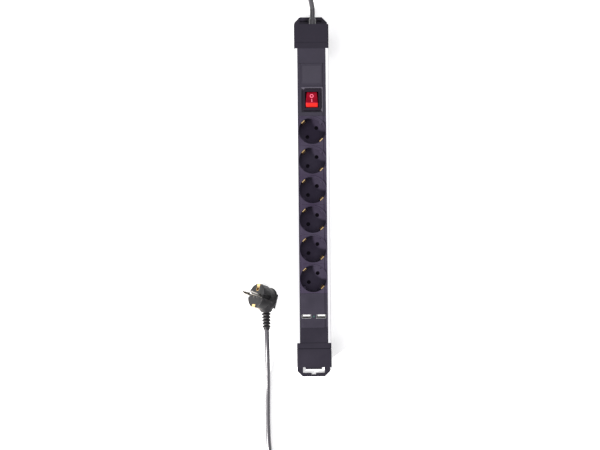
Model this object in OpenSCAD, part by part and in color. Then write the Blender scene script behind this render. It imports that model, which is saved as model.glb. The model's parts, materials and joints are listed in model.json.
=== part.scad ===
// Six-way earthed socket strip in an aluminium profile, with a lit rocker switch,
// two charging ports, a slotted flange at each end and a mains lead with an angled plug.
// X runs across the strip, Y along it towards the cord, Z out of the socket face.
// The origin is the centre of the strip's back face. Millimetres.

/* [Profile] */
// Width over the aluminium profile
body_w = 50; // [48:0.5:62]
// Height of the profile, from its back face to its rails
body_h = 43; // [42:0.5:60]
// Wall thickness of the profile
wall = 1.6; // [1.2:0.1:2.2]
// Width of each rail beside the plastic face
rail_w = 4.35; // [3.6:0.05:5.4]

/* [Modules along the face] */
// Length of the rating panel
label_l = 32.7; // [24:0.1:50]
// Length of the switch module
switch_l = 43.9; // [40:0.1:60]
// Distance between neighbouring sockets
pitch = 43.2; // [42.5:0.1:60]
// Length of the charging module
usb_l = 50.3; // [46:0.1:70]
// Width of the raised middle band of the face
band_w = 33; // [32:0.5:38]

/* [End caps] */
// Length of a cap outside the profile
cap_l = 35; // [32:0.5:50]
// Length of the cap's tongue over the face
tongue_l = 22; // [18:0.5:30]
// How far each mounting flange stands out
flange_l = 24; // [20:0.5:40]
// Thickness of a mounting flange
flange_t = 4; // [2.5:0.1:6]
// Length of the hanging slot, across the strip
slot_l = 33; // [20:0.5:36]
// Width of the hanging slot
slot_w = 6.1; // [4.5:0.1:8]

/* [Sockets] */
// Diameter of a plug recess
recess_d = 39.3; // [38.6:0.1:40.2]
// Depth of a plug recess
recess_depth = 17.5; // [15:0.1:18.5]
// Distance between a socket's two pin holes
pin_spacing = 19; // [17:0.1:20]
// Diameter of a pin hole in the recess floor
pin_hole_d = 5.8; // [5.2:0.1:6.4]
// Gap between a socket's two earth clips
clip_gap = 32; // [30:0.1:34]
// Angle that a shutter turns to open
shutter_swing = 40; // [38:1:46]

/* [Switch] */
// Width of the rocker
rocker_w = 19; // [14:0.1:20]
// Length of the opening that the rocker fills
rocker_l = 22.6; // [18:0.1:26]
// Total angle between off and on
rocker_swing = 28; // [16:1:30]

/* [Charging ports] */
// Distance between the two ports, centre to centre
port_spacing = 21.6; // [18:0.1:24]

/* [Cord and plug] */
// Diameter of the mains cord
cord_d = 7.6; // [6:0.1:8.4]
// Diameter of the plug's face
plug_d = 37; // [35:0.1:38]
// Diameter of a plug pin
plug_pin_d = 4.8; // [4:0.1:5]
// Length of a plug pin in front of the face
plug_pin_l = 19; // [17:0.1:20]

/* [Hidden] */
$fn = 64;
fit = 0.1;          // gap between plastic pieces
eps = 0.01;         // overshoot of a cut
plastic = 2.2;      // wall of the plastic mouldings
clip_t = 0.9;       // sheet thickness of an earth clip
bar_t = 1;          // sheet thickness of a bus bar

// lengths along Y
face_l = label_l + switch_l + 6 * pitch + usb_l;
profile_l = face_l + 2 * tongue_l;
cap_end = profile_l / 2 + cap_l;
flange_end = cap_end + flange_l;
label_y = face_l / 2 - label_l / 2;
switch_mid = label_y - label_l / 2 - switch_l / 2;
switch_y = switch_mid + 1.4;             // the switch sits off its module's centre
socket_y = [for (i = [0:5]) switch_mid - switch_l / 2 - pitch * (i + 0.5)];
usb_y = -face_l / 2 + usb_l / 2;

// heights along Z
lip_t = 2.4;                             // thickness of a rail
face_z = body_h;                         // middle band of the face
side_z = face_z - 0.8;                   // side strips of the face
ring_z = face_z + 0.4;                   // raised ring round a recess
cap_z = body_h + 1;                      // top of the end caps
foot_top = body_h - lip_t - fit;         // top of the modules' feet, under the rails
foot_bottom = foot_top - 2.1;
recess_floor = ring_z - recess_depth;
insert_bottom = recess_floor - 2;
shutter_top = insert_bottom - 0.6;
shutter_t = 1.6;
sleeve_top = shutter_top - shutter_t - 0.8;
tray_z = wall + 0.15;
tray_t = 1.15;
bar_z = tray_z + tray_t + 1.7;           // underside of the live and neutral bars
earth_z = bar_z + 7.4;                   // underside of the earth bar

// widths along X
face_w = body_w - 2 * rail_w;
inner_w = body_w - 2 * wall;
foot_w = inner_w - 0.4;
cap_w = body_w + 0.5;

// sockets
pin_x = pin_spacing / 2 * cos(45);
sleeve_d = plug_pin_d + 1.6;
clip_r = recess_d / 2 - 0.45;            // outside of an earth clip
clip_w = 6;
arm_w = 6;
post_r = 2;

// switch, pivot line along X
bezel_z = face_z + 0.5;
pivot_drop = 6;
pivot_z = bezel_z - pivot_drop;
rocker_r = sqrt(pow(rocker_l / 2, 2) + pow(pivot_drop, 2));
rocker_gap = 0.25;
rocker_edge = asin((pivot_drop + 0.4) / rocker_r) + rocker_swing / 2;
rocker_dip = (pivot_drop + 0.4) / cos(rocker_swing / 2);
well_l = rocker_l + 13.8;
well_w = rocker_w + 12.6;
well_floor = face_z - 3;
bezel_l = rocker_l + 8.4;
bezel_w = rocker_w + 7;
housing_l = 2 * rocker_r + 3.4;
housing_w = rocker_w + 3.4;
housing_bottom = pivot_z - 22.5;
pole_x = rocker_w / 2 - 4.1;             // the two poles of the switch
arm_z = pivot_z - 16.4;                  // pivot of the contact arms
arm_reach = 8;
contact_swing = rocker_swing / 2;

// charging module
port_y = usb_y - 8.4;
port_w = 13.8;
port_h = 6;
board_z = face_z - 18.8;
board_t = 1.6;
led_r = 1.5;

// cord
cord_x = 2.5;                            // the cord leaves a little off the middle
cord_z = 20;
boot_tip = cap_end + 16;
inner_end = profile_l / 2 + 1;
clamp_y = cap_end - 22;

// plug: its own Z is the pins' direction, X the line through both pins
plug_at = [-85, -146, 31.3];
plug_turn = [-21.1, -46.8, 1.7];
plug_front = 13;
plug_back = 31;
exit_tilt = 20;
exit_drop = 20;
relief_start = 15;
relief_end = 46;

// The cord's route, from the tip of the boot to the end of the plug's strain relief. Its upper
// turn keeps its place beyond the boot when the strip's length changes.
path = [
    [2.5, 266.1, 20], [2.5, 281, 20], [0, 296, 17.5], [-4.5, 312, 12], [-8, 328, 6.5],
    [-8.5, 343, 4], [-4.2, 359, 4], [7.5, 371, 4], [23.5, 375.4, 4], [39.5, 371, 4],
    [51.2, 359, 4], [55.6, 343, 4], [56, 324, 4], [56, 298, 4], [55.5, 262, 4],
    [55, 215, 4], [55, 160, 4], [54.5, 105, 4], [55, 50, 4], [55.5, -5, 4],
    [55.5, -60, 4], [55, -115, 4], [54.5, -170, 4], [55, -225, 4], [55.5, -280, 4],
    [56, -335, 4], [56, -374, 4], [50, -404, 4], [37, -429, 4], [17, -445, 4],
    [-7, -450, 4], [-31, -445, 4], [-51, -431, 4], [-64, -409, 4], [-69.5, -382, 4],
    [-71, -350, 4], [-71, -318, 4], [-70.5, -288, 5.5], [-70, -262, 10.5],
    [-70, -238, 16], [-70.3, -216, 18.9], [-70.5, -199, 19.1]];
route = [for (p = path) p + [0, p[1] > 200 ? boot_tip - 266.05 : 0, 0]];

// ---- shapes that repeat ----

// A box given by its lowest and highest corners.
module block(low, high) {
    translate(low) cube(high - low);
}

// A box that is centred on X.
module centred(w, y0, y1, z0, z1) {
    block([-w / 2, y0, z0], [w / 2, y1, z1]);
}

// A cylinder along Y.
module rod_y(x, z, r, y0, y1) {
    translate([x, y0, z]) rotate([-90, 0, 0]) cylinder(r = r, h = y1 - y0);
}

// A cylinder along X, centred on X = 0.
module rod_x(y, z, r, w) {
    translate([-w / 2, y, z]) rotate([0, 90, 0]) cylinder(r = r, h = w);
}

// Points of a quarter arc round a corner.
function arc(c, r, from, n = 6) =
    [for (i = [0:n]) c + r * [cos(from + 90 * i / n), sin(from + 90 * i / n)]];

// A rectangle with round corners, as an outline.
function round_box(w, y0, y1, r) = concat(
    arc([w / 2 - r, y1 - r], r, 0), arc([-w / 2 + r, y1 - r], r, 90),
    arc([-w / 2 + r, y0 + r], r, 180), arc([w / 2 - r, y0 + r], r, 270));

// A prism along Y of an outline in X and Z.
module along_y(outline, y0, y1) {
    translate([0, y1, 0]) rotate([90, 0, 0]) linear_extrude(y1 - y0) polygon(outline);
}

// A prism along X of an outline in Y and Z, centred on X = 0.
module along_x(outline, w) {
    translate([-w / 2, 0, 0])
        rotate([90, 0, 90]) linear_extrude(w) polygon(outline);
}

// A round tube swept along a list of points that is never vertical.
module tube(points, r, sides) {
    last = len(points) - 1;
    rings = [for (i = [0:last])
        let (step = points[min(i + 1, last)] - points[max(i - 1, 0)])
        let (ahead = step / norm(step))
        let (side = cross(ahead, [0, 0, 1]) / norm(cross(ahead, [0, 0, 1])))
        let (up = cross(side, ahead))
        for (k = [0:sides - 1])
            points[i] + r * (cos(360 * k / sides) * side + sin(360 * k / sides) * up)];
    skin = [for (i = [0:last - 1]) for (k = [0:sides - 1])
        let (a = i * sides + k)
        let (b = i * sides + (k + 1) % sides)
        [a, b, b + sides, a + sides]];
    first_cap = [for (k = [sides - 1:-1:0]) k];
    last_cap = [for (k = [0:sides - 1]) last * sides + k];
    polyhedron(rings, concat(skin, [first_cap, last_cap]), convexity = 10);
}

// A smooth curve through every point of a list, with a few points in each stretch.
function blend(a, b, c, d, t) =
    0.5 * (2 * b + (c - a) * t + (2 * a - 5 * b + 4 * c - d) * t * t
        + (3 * b - a - 3 * c + d) * t * t * t);
function smooth(p, spacing) = concat(
    [for (i = [0:len(p) - 2])
        let (n = max(1, round(norm(p[i + 1] - p[i]) / spacing)))
        for (k = [0:n - 1])
            blend(p[max(i - 1, 0)], p[i], p[i + 1], p[min(i + 2, len(p) - 1)], k / n)],
    [p[len(p) - 1]]);

// ---- profile, tray and end caps ----

module aluminium_profile() {
    half = profile_l / 2;
    color("silver") difference() {
        along_y(round_box(body_w, 0, body_h, 1), -half, half);
        centred(face_w, -half - eps, half + eps, foot_top, body_h + eps);
        centred(inner_w, -half - eps, half + eps, foot_bottom - fit, foot_top + fit);
        centred(inner_w - 4, -half - eps, half + eps, foot_bottom - 4, foot_bottom);
        centred(inner_w, -half - eps, half + eps, wall, foot_bottom - 2);
        cap_screw_places() {
            translate([0, 0, -eps]) cylinder(r = 1.6, h = wall + 1);
            translate([0, 0, -eps]) cylinder(r1 = 3.1, r2 = 1.6, h = 1.5);
        }
        bond_place() translate([0, 0, -eps]) cylinder(r = 1.6, h = wall + 1);
        bond_place() translate([0, 0, -eps]) cylinder(r = 3, h = 0.8);
    }
}

module insulating_tray() {
    half = face_l / 2 - 1;
    color("ghostwhite") difference() {
        centred(foot_w, -half, half, tray_z, tray_z + 14);
        centred(foot_w - 2, -half - eps, half + eps, tray_z + tray_t, tray_z + 15);
        bond_place() cylinder(r = 2.2, h = 10);
    }
}

// The four places where a screw holds a cap to the back of the profile.
module cap_screw_places() {
    for (end = [-1, 1])
        for (side = [-1, 1])
            translate([side * 13, end * (profile_l / 2 - 9), 0]) children();
}

module bond_place() {
    translate([0, usb_y - 13, 0]) children();
}

// Outline of the hanging slot: a straight slot with a horn at each end and a notch.
module slot_outline() {
    square([slot_l, slot_w], center = true);
    for (side = [-1, 1])
        translate([side * (slot_l / 2 - 2), -slot_w / 2 - 1.5]) square([4, 3.2], center = true);
    translate([0, slot_w / 2 + 1.2]) square([7, 2.6], center = true);
}

// Both caps, drawn for the +Y end.
module cap_shell() {
    start = profile_l / 2 + fit / 2;
    step = cap_end - 26.5;
    chamfer = 8;
    difference() {
        union() {
            along_y(round_box(cap_w, 0, cap_z, 1.6), step, cap_end);
            along_y(round_box(cap_w, 0, cap_z - 0.8, 1.6), start, step + 1);
        }
        centred(cap_w - 2 * plastic, start - eps, cap_end - plastic, plastic, cap_z - 3.2);
        for (side = [-1, 1])
            translate([side * cap_w / 2, step, cap_z - 6]) cube([3, 2.4, 16], center = true);
    }
    // tongue over the face and shoe inside the profile
    along_y(round_box(face_w - 2 * fit, foot_bottom, face_z - 0.3, 0.5),
        start - tongue_l + fit, start + 1);
    centred(foot_w, start - tongue_l + fit, start + 1, foot_bottom, foot_top);
    for (side = [-1, 1])
        translate([side * 13, 0, 0]) difference() {
            centred(14, start - 19, start + 1, wall + fit, wall + 8);
            translate([0, profile_l / 2 - 9, 0]) cylinder(r = 1.3, h = wall + 6);
        }
    // flange
    linear_extrude(flange_t) polygon([
        [-body_w / 2, cap_end - 1], [body_w / 2, cap_end - 1],
        [body_w / 2, flange_end - chamfer], [body_w / 2 - chamfer, flange_end],
        [-body_w / 2 + chamfer, flange_end], [-body_w / 2, flange_end - chamfer]]);
}

module top_end_cap() {
    color([0.16, 0.16, 0.18]) difference() {
        union() {
            cap_shell();
            translate([cord_x, 0, 0])
                centred(24, clamp_y, clamp_y + 8, plastic - eps, cord_z - 0.5);
        }
        rod_y(cord_x, cord_z, 5.2, cap_end - plastic - 1, cap_end + 1);
        rod_y(cord_x, cord_z, cord_d / 2 + 0.05, clamp_y - 1, clamp_y + 9);
        clamp_screw_places() translate([0, 0, cord_z - 12]) cylinder(r = 1.3, h = 14);
        // the slot is only a pocket at the cord's end
        translate([0, flange_end - 8, 1]) linear_extrude(flange_t) slot_outline();
    }
}

module bottom_end_cap() {
    color([0.15, 0.15, 0.17]) rotate([0, 0, 180]) difference() {
        cap_shell();
        translate([0, flange_end - 8, -1]) linear_extrude(flange_t + 2) slot_outline();
    }
}

module end_cap_screws() {
    color("gray") cap_screw_places() difference() {
        union() {
            translate([0, 0, 0.05]) cylinder(r1 = 2.9, r2 = 1.3, h = 1.5);
            cylinder(r = 1.25, h = wall + 5.5);
        }
        for (turn = [0, 90])
            rotate([0, 0, turn]) cube([0.8, 3, 1.6], center = true);
    }
}

// ---- face modules ----

// The common moulding: middle band, side strips and feet that slide under the rails.
module face_plate(y, l) {
    y0 = y - l / 2 + fit;
    y1 = y + l / 2 - fit;
    along_y([
        [-foot_w / 2, foot_bottom], [foot_w / 2, foot_bottom], [foot_w / 2, foot_top],
        [face_w / 2 - fit, foot_top], [face_w / 2 - fit, side_z], [band_w / 2, side_z],
        [band_w / 2 - 0.5, face_z], [-band_w / 2 + 0.5, face_z], [-band_w / 2, side_z],
        [-face_w / 2 + fit, side_z], [-face_w / 2 + fit, foot_top], [-foot_w / 2, foot_top]],
        y0, y1);
}

// The space inside a module that is only a cover.
module cover_hollow(y, l) {
    centred(band_w - 5, y - l / 2 + plastic, y + l / 2 - plastic, foot_bottom - 1, face_z - plastic);
}

module label_cover() {
    color([0.24, 0.24, 0.27]) difference() {
        face_plate(label_y, label_l);
        cover_hollow(label_y, label_l);
        centred(28, label_y - label_l / 2 + 3, label_y + label_l / 2 - 3, face_z - 0.2, face_z + 1);
    }
}

module rating_label() {
    color([0.3, 0.3, 0.33])
        centred(27.7, label_y - label_l / 2 + 3.15, label_y + label_l / 2 - 3.15,
            face_z - 0.2, face_z - 0.03);
}

module switch_frame() {
    color([0.2, 0.2, 0.23]) difference() {
        face_plate(switch_mid, switch_l);
        centred(well_w, switch_y - well_l / 2, switch_y + well_l / 2, well_floor, face_z + 1);
        centred(housing_w + 2 * fit, switch_y - housing_l / 2 - fit,
            switch_y + housing_l / 2 + fit, foot_bottom - 1, face_z);
    }
}

// ---- switch ----

module switch_housing() {
    color([0.1, 0.1, 0.11]) difference() {
        union() {
            translate([0, switch_y, well_floor + 0.02])
                linear_extrude(bezel_z - well_floor - 0.02)
                    polygon(round_box(bezel_w, -bezel_l / 2, bezel_l / 2, 2.5));
            centred(housing_w, switch_y - housing_l / 2, switch_y + housing_l / 2,
                housing_bottom, well_floor + 1);
        }
        // the rocker's sweep
        rod_x(switch_y, pivot_z, rocker_r + rocker_gap, rocker_w + 0.5);
        // the room for the contacts
        centred(rocker_w + 0.5, switch_y - rocker_r + 0.6, switch_y + rocker_r - 0.6,
            housing_bottom + 1.6, pivot_z - 4);
        rod_x(switch_y, pivot_z, 1.25, rocker_w + 2.4);
        // ways out for the terminals
        for (side = [-1, 1])
            for (y = [0, arm_reach])
                translate([side * pole_x, switch_y + y, housing_bottom])
                    cube([1.2, 5.4, 6], center = true);
    }
}

// The rocker's outline in Y and Z round its pivot, as it stands halfway.
function rocker_arc(r, from, to) =
    [for (i = [0:8]) let (a = from + (to - from) * i / 8) r * [cos(a), sin(a)]];
function mirrored(p) = [for (i = [len(p) - 1:-1:0]) [-p[i][0], p[i][1]]];

module rocker() {
    low = -2;
    outside = rocker_arc(rocker_r, -8, rocker_edge);
    inside = rocker_arc(rocker_r - 1.4, -12, rocker_edge - 8);
    color([0.85, 0.1, 0.1]) translate([0, switch_y, pivot_z])
        rotate([-rocker_swing / 2, 0, 0]) {
            difference() {
                along_x(concat(outside, [[0, rocker_dip]], mirrored(outside)), rocker_w);
                along_x(concat(inside, [[0, rocker_dip - 1.8]], mirrored(inside)), rocker_w - 2.8);
                centred(rocker_w - 2.8, -rocker_r + 1.4, rocker_r - 1.4, low - 4, 1);
            }
            // cheeks and pivot pins
            for (side = [-1, 1])
                translate([side * (rocker_w / 2 - 0.7), 0, 0]) rod_x(0, 0, 2.6, 1.4);
            for (side = [-1, 1])
                translate([side * (rocker_w / 2 + 0.3), 0, 0]) rod_x(0, 0, 1.2, 1.4);
            // tubes that hold the sprung plungers
            for (side = [-1, 1])
                translate([side * pole_x, 0, -6]) difference() {
                    cylinder(r = 2.2, h = rocker_dip + 5);
                    translate([0, 0, -eps]) cylinder(r = 1.5, h = rocker_dip + 3);
                }
        }
}

module switch_plungers() {
    color("goldenrod") translate([0, switch_y, pivot_z]) rotate([-rocker_swing / 2, 0, 0])
        for (side = [-1, 1])
            translate([side * pole_x, 0, -12]) {
                translate([0, 0, 1.4]) cylinder(r = 1.4, h = 10);
                translate([0, 0, 1.4]) sphere(r = 1.4);
            }
}

// Two seesaw arms, each tilted by the plunger above it.
module switch_contact_arms() {
    color("darkgoldenrod") translate([0, switch_y, arm_z]) rotate([contact_swing / 2, 0, 0])
        for (side = [-1, 1])
            translate([side * pole_x, 0, 0]) {
                centred(4, -arm_reach + 2, arm_reach + 1, 1, 2);
                translate([0, arm_reach, 0.4]) cylinder(r = 1.4, h = 1);
                for (wing = [-1, 1])
                    translate([wing * 1.6, 0, 0]) centred(0.8, -1.5, 1.5, -1.2, 1.5);
            }
}

module switch_terminals() {
    color("goldenrod") for (side = [-1, 1])
        translate([side * pole_x, switch_y, 0]) {
            centred(0.8, -2.4, 2.4, bar_z + bar_t + 0.05, arm_z + 0.6);
            centred(0.8, arm_reach - 2.4, arm_reach + 2.4, housing_bottom - 6, arm_z - 3.6);
            translate([0, arm_reach, arm_z - 3.7]) cylinder(r = 1.4, h = 1);
        }
}

module switch_lamp() {
    color([1, 0.75, 0.5, 0.6]) translate([0, switch_y - 5, housing_bottom + 1.65]) {
        cylinder(r = 1.9, h = 8);
        translate([0, 0, 8]) sphere(r = 1.9);
    }
}

// ---- sockets ----

module at_socket(i) {
    translate([0, socket_y[i], 0]) children();
}

module socket_insert(i) {
    r = recess_d / 2;
    color([0.22, 0.21, 0.25]) difference() {
        union() {
            difference() {
                union() {
                    face_plate(socket_y[i], pitch);
                    at_socket(i) translate([0, 0, insert_bottom])
                        cylinder(r = r + 1.3, h = foot_bottom - insert_bottom + 1);
                    at_socket(i) translate([0, 0, foot_bottom])
                        cylinder(r = r + 0.85, h = ring_z - foot_bottom);
                }
                at_socket(i) translate([0, 0, recess_floor]) cylinder(r = r, h = 40);
            }
            // guide ribs in line with the pins
            at_socket(i) for (turn = [45, 225])
                rotate([0, 0, turn])
                    block([r - 2.3, -2.4, recess_floor - eps], [r + 0.5, 2.4, ring_z - 1.5]);
            at_socket(i) translate([0, 0, shutter_top - shutter_t - 0.3])
                cylinder(r = post_r, h = insert_bottom - shutter_top + shutter_t + 0.8);
        }
        at_socket(i) for (turn = [45, 225])
            rotate([0, 0, turn]) translate([pin_spacing / 2, 0, insert_bottom - 1])
                cylinder(r = pin_hole_d / 2, h = 5);
        // slots that the earth clips come up through
        at_socket(i) for (turn = [135, 315])
            rotate([0, 0, turn]) block([clip_r - clip_t - 0.4, -clip_w / 2 - 0.4, insert_bottom - 1],
                [clip_r + 0.3, clip_w / 2 + 0.4, recess_floor + 1]);
    }
}

module socket_shutter(i) {
    color("dimgray") at_socket(i) translate([0, 0, shutter_top - shutter_t]) difference() {
        cylinder(r = pin_spacing / 2 + 3.4, h = shutter_t);
        translate([0, 0, -1]) cylinder(r = post_r + 0.05, h = shutter_t + 2);
        for (turn = [0, 180])
            rotate([0, 0, 45 - shutter_swing + turn]) translate([pin_spacing / 2, 0, -1])
                cylinder(r = pin_hole_d / 2 + 0.1, h = shutter_t + 2);
    }
}

// An earth clip's inner face bows towards the plug near its top.
module earth_clip() {
    bow_low = recess_floor + 4;
    bow_high = ring_z - 2.4;
    bow = recess_d / 2 - 0.45 - clip_t - clip_gap / 2;
    line = concat([[clip_r - clip_t, earth_z]],
        [for (i = [0:12]) let (t = i / 12)
            [clip_r - clip_t - bow * (1 - cos(360 * t)) / 2, bow_low + (bow_high - bow_low) * t]]);
    outer = [for (i = [len(line) - 1:-1:0]) line[i] + [clip_t, 0]];
    rotate([90, 0, 0]) linear_extrude(clip_w, center = true) polygon(concat(line, outer));
}

module earth_bar() {
    far = socket_y[5] - 16;
    near = socket_y[0] + pitch / 2 - 2;
    color("gold") difference() {
        union() {
            centred(5, far, near, earth_z, earth_z + bar_t);
            for (i = [0:5])
                at_socket(i) for (turn = [135, 315])
                    rotate([0, 0, turn]) {
                        earth_clip();
                        block([0, -arm_w / 2, earth_z], [clip_r, arm_w / 2, earth_z + bar_t]);
                    }
        }
        translate([0, far + 3, earth_z - 1]) cylinder(r = 1.2, h = 4);
    }
}

// The screw that bonds the profile to earth, with its lead up to the earth bar.
module earth_bond_screw() {
    color("goldenrod") bond_place() {
        translate([0, 0, 0.05]) cylinder(r = 2.8, h = 0.7);
        cylinder(r = 1.5, h = 9);
        translate([0, 0, wall + 0.05]) cylinder(r = 2.1, h = 2.4, $fn = 6);
    }
}

// A bus bar with one sprung sleeve under each socket; side is +1 for live, -1 for neutral.
module bus_bar(side) {
    x = side * pin_x;
    difference() {
        union() {
            translate([x, 0, 0]) centred(6, socket_y[5] - 14, switch_y + 3, bar_z, bar_z + bar_t);
            for (i = [0:5])
                at_socket(i) translate([x, side * pin_x, bar_z]) cylinder(d = sleeve_d, h = sleeve_top - bar_z);
        }
        for (i = [0:5])
            at_socket(i) translate([x, side * pin_x, bar_z + bar_t]) {
                cylinder(d = plug_pin_d + 0.1, h = sleeve_top);
                translate([0, 0, 10 + sleeve_top / 2]) cube([0.8, 10, sleeve_top + 16], center = true);
            }
    }
}

module live_bus_bar() {
    color("darkgoldenrod") bus_bar(1);
}

module neutral_bus_bar() {
    color("goldenrod") bus_bar(-1);
}

// Saddles between the sockets that carry all three bars.
module bus_bar_holders() {
    color("beige") for (i = [0:4])
        translate([0, socket_y[i] - pitch / 2, 0]) {
            centred(2 * pin_x + 9, -3, 3, tray_z + tray_t + 0.02, bar_z - 0.02);
            centred(2 * pin_x - 6.4, -3, 3, bar_z - 0.1, earth_z - 0.02);
            for (side = [-1, 1])
                translate([side * (pin_x + 3.85), 0, 0]) centred(1.2, -3, 3, bar_z - 0.1, bar_z + 2);
        }
}

// ---- charging module ----

module at_ports() {
    for (side = [-1, 1])
        translate([side * port_spacing / 2, port_y, 0]) children();
}

module usb_cover() {
    color([0.18, 0.18, 0.2]) {
        difference() {
            face_plate(usb_y, usb_l);
            cover_hollow(usb_y, usb_l);
            at_ports() centred(port_w, -port_h / 2, port_h / 2, board_z, face_z + 1);
            translate([0, port_y, board_z]) cylinder(r = led_r + 0.05, h = 40);
        }
        // posts that hold the circuit board
        for (side = [-1, 1])
            for (end = [-1, 1])
                translate([side * 17.5, usb_y + end * (usb_l / 2 - 5), board_z + board_t + 0.02])
                    cylinder(r = 2, h = foot_bottom - board_z - board_t + 0.5);
    }
}

module usb_shell() {
    w = port_w - 0.2;
    h = port_h - 0.2;
    translate([0, 0, board_z + board_t + 0.02]) difference() {
        linear_extrude(face_z - board_z - board_t + 0.1) polygon(round_box(w, -h / 2, h / 2, 0.6));
        translate([0, 0, -1]) linear_extrude(40) polygon(round_box(w - 0.8, -h / 2 + 0.4, h / 2 - 0.4, 0.3));
    }
}

module usb_shell_left() {
    color("silver") translate([-port_spacing / 2, port_y, 0]) usb_shell();
}

module usb_shell_right() {
    color("silver") translate([port_spacing / 2, port_y, 0]) usb_shell();
}

module usb_tongues() {
    color([0.9, 0.9, 0.9]) at_ports() {
        centred(10.6, 0.3, 2.2, board_z + board_t + 0.02, face_z - 1.2);
        centred(12.6, -2.4, 2.4, board_z + board_t + 0.02, board_z + board_t + 3);
    }
}

module usb_circuit_board() {
    color("darkgreen") centred(40, usb_y - usb_l / 2 + 3, usb_y + usb_l / 2 - 3, board_z, board_z + board_t);
}

module usb_transformer() {
    base = board_z + board_t + 0.02;
    color("orange") translate([-7, usb_y + 8, 0]) {
        centred(12, -7, 7, base, base + 2);
        centred(12, -7, 7, base + 8, base + 10);
        translate([0, 0, base + 1.9]) cylinder(r = 5, h = 6.2);
    }
}

module usb_capacitors() {
    base = board_z + board_t + 0.02;
    color("navy") for (y = [3, 13])
        translate([7, usb_y + y, base]) {
            cylinder(r = 4, h = 10.4);
            translate([0, 0, 10.3]) cylinder(r = 3.2, h = 0.4);
        }
}

module usb_led() {
    color([0.6, 1, 0.6]) translate([0, port_y, board_z + board_t + 0.02]) {
        cylinder(r = led_r, h = 3);
        translate([0, 0, 3]) sphere(r = led_r);
    }
}

module led_light_guide() {
    color([0.7, 1, 0.75]) translate([0, port_y, board_z + board_t + 5])
        cylinder(r = led_r - 0.05, h = face_z - board_z - board_t - 4.9);
}

module usb_wires() {
    bar_end = socket_y[5] - 14;
    color("sienna") for (side = [-1, 1])
        tube(smooth([
            [side * pin_x, bar_end - 0.05, bar_z + 1.2], [side * pin_x, bar_end - 5, bar_z + 1.2],
            [side * 8, usb_y + 13, 9], [side * 9, usb_y + 6, 14], [side * 9, usb_y + 1, 20],
            [side * 9, usb_y, board_z - 0.6]], 4), 0.9, 8);
}

// ---- cord entry ----

module cord_boot() {
    bore = cord_d / 2 + 0.05;
    color([0.2, 0.2, 0.22]) translate([cord_x, 0, cord_z]) rotate([-90, 0, 0])
        rotate_extrude() polygon([
            [bore, cap_end - 12], [6.8, cap_end - 12], [6.8, cap_end - plastic - 0.05],
            [5.1, cap_end - plastic - 0.05], [5.1, cap_end + 0.05], [bore + 1.9, cap_end + 0.05],
            [bore + 1.5, cap_end + 4], [bore + 1.3, boot_tip - 5], [bore + 1.5, boot_tip - 3],
            [bore + 1.2, boot_tip - 1], [bore + 0.5, boot_tip], [bore, boot_tip]]);
}

module clamp_screw_places() {
    for (side = [-1, 1])
        translate([cord_x + side * 9, clamp_y + 4, 0]) children();
}

module cord_clamp() {
    color("dimgray") difference() {
        union() {
            translate([cord_x, 0, 0])
                centred(24, clamp_y + 1, clamp_y + 7, cord_z + 0.3, cord_z + 3.5);
            rod_y(cord_x, cord_z + 1, cord_d / 2 + 2, clamp_y + 1, clamp_y + 7);
        }
        rod_y(cord_x, cord_z, cord_d / 2 + 0.05, clamp_y, clamp_y + 8);
        centred(36, clamp_y, clamp_y + 8, cord_z - 10, cord_z + 0.3);
        clamp_screw_places() cylinder(r = 1.6, h = 40);
    }
}

module cord_clamp_screws() {
    color("lightgray") clamp_screw_places() difference() {
        union() {
            translate([0, 0, cord_z - 8]) cylinder(r = 1.25, h = 12);
            translate([0, 0, cord_z + 3.55]) cylinder(r = 2.7, h = 1.8);
        }
        for (turn = [0, 90])
            translate([0, 0, cord_z + 5]) rotate([0, 0, turn]) cube([0.8, 3.4, 1.6], center = true);
    }
}

module cord_inner_length() {
    color([0.25, 0.25, 0.27]) rod_y(cord_x, cord_z, cord_d / 2, inner_end, boot_tip);
}

// A conductor inside the strip, from the stripped end of the cord.
module conductor(points) {
    tube(smooth(points, 8), 1.25, 8);
}

module live_wire() {
    blade = switch_y + arm_reach + 2.5;
    color("saddlebrown") conductor([
        [cord_x + 1.9, inner_end - 0.3, cord_z + 1], [cord_x + 2.5, inner_end - 8, cord_z + 0.8],
        [6, label_y + 14, 17], [7, label_y, 13],
        [6, blade + 8, housing_bottom - 3], [pole_x, blade, housing_bottom - 3]]);
}

module neutral_wire() {
    blade = switch_y + arm_reach + 2.5;
    color("royalblue") conductor([
        [cord_x - 1.9, inner_end - 0.3, cord_z + 1], [cord_x - 2.5, inner_end - 8, cord_z + 0.8],
        [-6, label_y + 14, 17], [-7, label_y, 13],
        [-6, blade + 8, housing_bottom - 3], [-pole_x, blade, housing_bottom - 3]]);
}

module earth_wire() {
    end = socket_y[0] + pitch / 2 - 1.9;
    color("yellowgreen") conductor([
        [cord_x, inner_end - 0.3, cord_z - 2], [cord_x, inner_end - 8, cord_z - 2.4],
        [0, label_y + 14, 15], [0, label_y, 9.5], [0, switch_y + 16, 8.6], [0, switch_y, 8.6],
        [0, end + 12, 9.4], [0, end + 5, earth_z], [0, end, earth_z + bar_t / 2]]);
}

module mains_cord() {
    color([0.25, 0.25, 0.27]) tube(smooth(route, 20), cord_d / 2, 10);
}

// ---- plug ----

module on_plug() {
    translate(plug_at) rotate(plug_turn) children();
}

// Places something along the cord's way out of the plug; its Z points out along the cord.
module plug_exit() {
    translate([0, 0, -exit_drop]) rotate([90 + exit_tilt, 0, 0]) children();
}

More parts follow.
